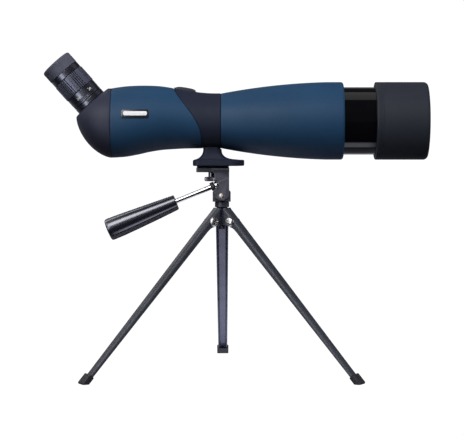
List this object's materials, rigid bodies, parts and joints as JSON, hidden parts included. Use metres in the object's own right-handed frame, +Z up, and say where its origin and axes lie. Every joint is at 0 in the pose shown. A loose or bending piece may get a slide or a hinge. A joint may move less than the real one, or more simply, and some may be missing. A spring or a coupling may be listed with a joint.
{
  "type": "spotting scope",
  "caption": "Angled spotting scope with sliding lens hood, zoom eyepiece and top focusing roller, on a folding table tripod with pan and tilt head.",
  "frame": {"origin": "centre of the whole object's box at floor level, under the feet", "axes": "+X along the optical axis from eyepiece to objective, +Z up, +Y away from the side the badge is on"},
  "size_m": [0.3818, 0.2406, 0.3211],
  "materials": {
    "blue_paint": "satin",
    "black_armour": "satin",
    "gloss_black": "gloss",
    "hood_black": "satin",
    "rubber": "matte",
    "anodised": "satin",
    "steel": "polished",
    "brass": "machined",
    "glass": "polished",
    "badge": "polished",
    "leg_paint": "gloss",
    "grip": "gloss",
    "felt": "matte",
    "pad": "matte"
  },
  "bodies": {
    "tripod_base": {"tripod_hub": "black_armour"},
    "pan_head": {"pan_base": "black_armour", "pan_bolt": "steel", "pan_washer": "steel"},
    "tilting_head": {"tilt_head": "black_armour", "tilt_pin": "steel", "tilt_nut": "steel", "platform_pad": "pad", "rear_body_shell": "blue_paint", "neck_saddle": "black_armour", "prism_housing": "black_armour", "front_body_shell": "blue_paint", "objective_barrel": "gloss_black", "barrel_o_ring": "rubber", "objective_flint_lens": "glass", "objective_crown_lens": "glass", "objective_retaining_ring": "anodised", "light_baffle": "felt", "name_badge": "badge", "eyecup": "rubber", "eyecup_base_ring": "gloss_black", "eye_lens": "glass", "eye_lens_retainer": "anodised", "eyepiece_barrel": "gloss_black", "eyepiece_collar": "gloss_black", "roof_prism": "glass", "prism_holder": "anodised", "prism_clip": "steel", "focus_guide_rod": "steel", "foot_thread_insert": "brass"},
    "handle": {"handle_rod": "steel", "handle_grip": "grip", "handle_lock_nut": "steel"},
    "clamp_screw": {"camera_screw": "steel"},
    "hood": {"lens_hood": "hood_black", "hood_slide_ring": "felt"},
    "focus_drive": {"focus_knob": "rubber", "focus_screw": "steel"},
    "focus_cell": {"focus_carriage": "anodised", "focus_lens": "glass"},
    "zoom_control": {"zoom_ring": "rubber", "zoom_cam_sleeve": "anodised"},
    "zoom_upper": {"zoom_cell_upper": "anodised", "zoom_lens_upper": "glass"},
    "zoom_lower": {"zoom_cell_lower": "anodised", "zoom_lens_lower": "glass"},
    "leg_assembly_left": {"leg_left": "leg_paint", "foot_left": "rubber", "leg_screw_left": "steel", "leg_nut_left": "steel"},
    "leg_assembly_right": {"leg_right": "leg_paint", "foot_right": "rubber", "leg_screw_right": "steel", "leg_nut_right": "steel"},
    "leg_assembly_rear": {"leg_rear": "leg_paint", "foot_rear": "rubber", "leg_screw_rear": "steel", "leg_nut_rear": "steel"}
  },
  "joints": [
    {"name": "leg_fold_left", "type": "hinge", "parent": "tripod_base", "child": "leg_assembly_left", "pos_m": [-0.02438, -0.04329, 0.1528], "axis": [0.5, -0.866, 0], "range_deg": [0, 42.3]},
    {"name": "leg_fold_right", "type": "hinge", "parent": "tripod_base", "child": "leg_assembly_right", "pos_m": [-0.00238, -0.04329, 0.1528], "axis": [0.5, 0.866, 0], "range_deg": [0, 42.3]},
    {"name": "leg_fold_rear", "type": "hinge", "parent": "tripod_base", "child": "leg_assembly_rear", "pos_m": [-0.01338, -0.02424, 0.1528], "axis": [-1, 0, 0], "range_deg": [0, 42.3]},
    {"name": "pan", "type": "hinge", "parent": "tripod_base", "child": "pan_head", "pos_m": [-0.01338, -0.03694, 0.1721], "axis": [0, 0, 1], "continuous": true},
    {"name": "tilt", "type": "hinge", "parent": "pan_head", "child": "tilting_head", "pos_m": [-0.01378, -0.03694, 0.1784], "axis": [0, -1, 0], "range_deg": [-35, 20]},
    {"name": "handle_twist", "type": "hinge", "parent": "tilting_head", "child": "handle", "pos_m": [-0.02238, -0.03694, 0.1876], "axis": [-0.9272, 0, -0.3746], "range_deg": [0, 180]},
    {"name": "camera_screw_turn", "type": "hinge", "parent": "tilting_head", "child": "clamp_screw", "pos_m": [-0.02408, -0.03694, 0.1946], "axis": [0, 0, 1], "continuous": true},
    {"name": "hood_slide", "type": "slide", "parent": "tilting_head", "child": "hood", "axis": [1, 0, 0], "range_m": [-0.03, 0]},
    {"name": "focus_turn", "type": "hinge", "parent": "tilting_head", "child": "focus_drive", "pos_m": [-0.04938, -0.03694, 0.2754], "axis": [1, 0, 0], "range_deg": [-540, 540]},
    {"name": "focus_travel", "type": "slide", "parent": "tilting_head", "child": "focus_cell", "axis": [1, 0, 0], "range_m": [-0.0119, 0.0119]},
    {"name": "zoom_turn", "type": "hinge", "parent": "tilting_head", "child": "zoom_control", "pos_m": [-0.16868, -0.03694, 0.2989], "axis": [0.6691, 0, -0.7431], "range_deg": [0, 150]},
    {"name": "zoom_upper_travel", "type": "slide", "parent": "tilting_head", "child": "zoom_upper", "axis": [0.6691, 0, -0.7431], "range_m": [0, 0.004]},
    {"name": "zoom_lower_travel", "type": "slide", "parent": "tilting_head", "child": "zoom_lower", "axis": [0.6691, 0, -0.7431], "range_m": [-0.0099, 0]}
  ],
  "couplings": [
    {"joint": "focus_turn", "follows": "focus_travel", "rad_per_m": 787.4},
    {"joint": "zoom_turn", "follows": "zoom_lower_travel", "rad_per_m": -263.16},
    {"joint": "zoom_upper_travel", "follows": "zoom_lower_travel", "ratio": -0.39474}
  ]
}
